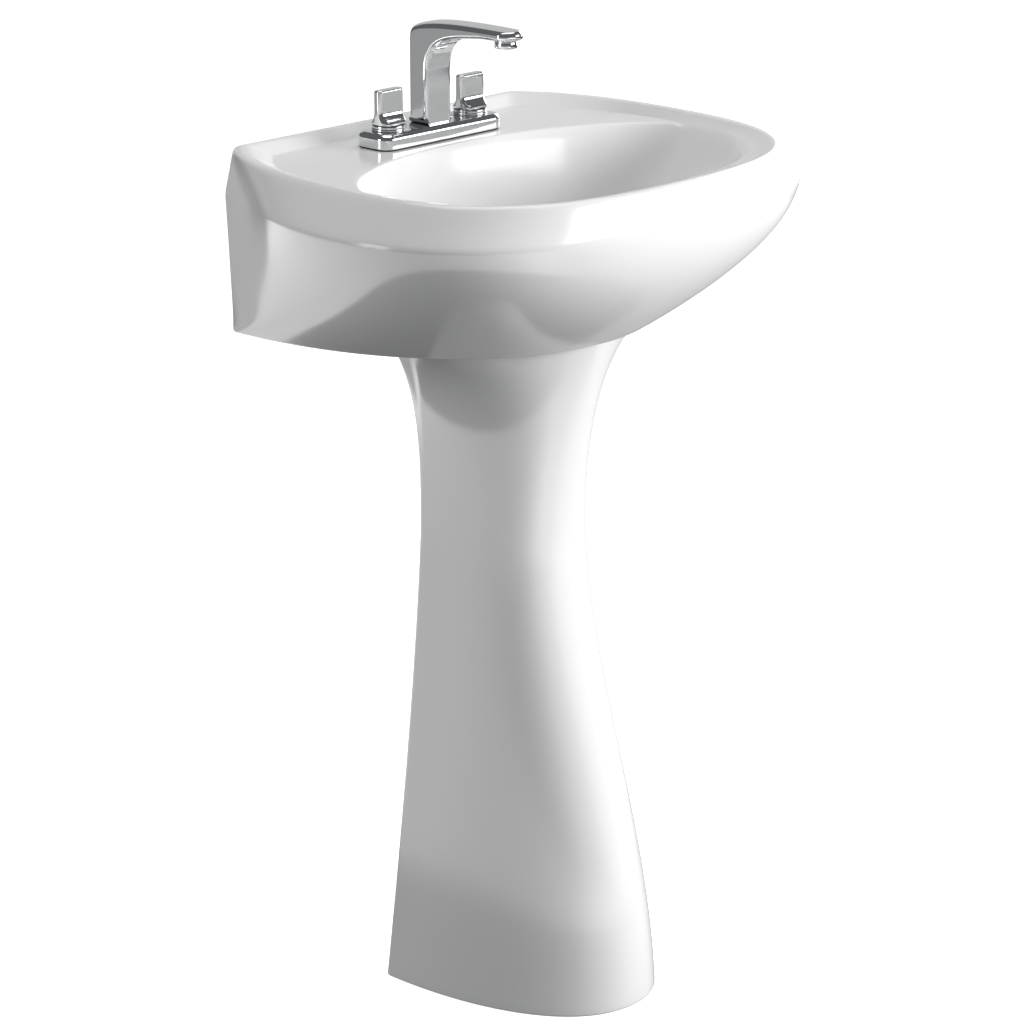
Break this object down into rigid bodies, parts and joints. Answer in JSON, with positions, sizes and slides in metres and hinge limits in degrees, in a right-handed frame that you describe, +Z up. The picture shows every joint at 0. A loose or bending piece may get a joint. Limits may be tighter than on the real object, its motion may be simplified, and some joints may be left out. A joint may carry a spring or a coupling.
{
  "type": "pedestal sink",
  "caption": "Pedestal sink: D-shaped china basin with a bevelled rim and sunken deck, waisted pedestal, two-handle centreset faucet and push drain.",
  "frame": {"origin": "on the floor, on the centre line, half the basin's depth in front of the wall", "axes": "+Z up, +Y towards the wall, +X to the right of a person who faces the wall"},
  "size_m": [0.497, 0.374, 0.8696],
  "materials": {
    "vitreous_china": "gloss white glaze",
    "polished_chrome": "polished",
    "cast_brass": "cast and machined",
    "black_rubber": "matt",
    "white_plastic": "moulded",
    "stainless_steel": "turned"
  },
  "bodies": {
    "sink": {"aerator_screen": "white_plastic", "aerator_shell": "polished_chrome", "aerator_washer": "black_rubber", "basin": "vitreous_china", "cold_shank_nut": "white_plastic", "cold_shank_washer": "stainless_steel", "cold_trim_ring": "polished_chrome", "cold_valve_sleeve": "cast_brass", "coupling_nut": "polished_chrome", "drain_body": "cast_brass", "drain_flange": "polished_chrome", "drain_friction_washer": "white_plastic", "drain_gasket": "black_rubber", "drain_locknut": "cast_brass", "faucet_base_plate": "polished_chrome", "faucet_body": "cast_brass", "faucet_gasket": "black_rubber", "hot_shank_nut": "white_plastic", "hot_shank_washer": "stainless_steel", "hot_trim_ring": "polished_chrome", "hot_valve_sleeve": "cast_brass", "pedestal": "vitreous_china", "spout": "polished_chrome", "stopper_guide": "white_plastic", "tailpiece": "polished_chrome", "tailpiece_washer": "black_rubber"},
    "hot_handle_set": {"hot_handle": "polished_chrome", "hot_valve_stem": "cast_brass", "hot_set_screw": "stainless_steel"},
    "cold_handle_set": {"cold_handle": "polished_chrome", "cold_valve_stem": "cast_brass", "cold_set_screw": "stainless_steel"},
    "stopper": {"stopper_cap": "polished_chrome", "stopper_seal": "black_rubber", "stopper_stem": "stainless_steel"}
  },
  "joints": [
    {"name": "hot_handle_turn", "type": "hinge", "parent": "sink", "child": "hot_handle_set", "pos_m": [-0.0508, 0.12, 0.785], "axis": [0, 0, 1], "range_deg": [0, 90]},
    {"name": "cold_handle_turn", "type": "hinge", "parent": "sink", "child": "cold_handle_set", "pos_m": [0.0508, 0.12, 0.785], "axis": [0, 0, -1], "range_deg": [0, 90]},
    {"name": "stopper_slide", "type": "slide", "parent": "sink", "child": "stopper", "axis": [0, 0, 1], "range_m": [-0.008, 0]}
  ]
}
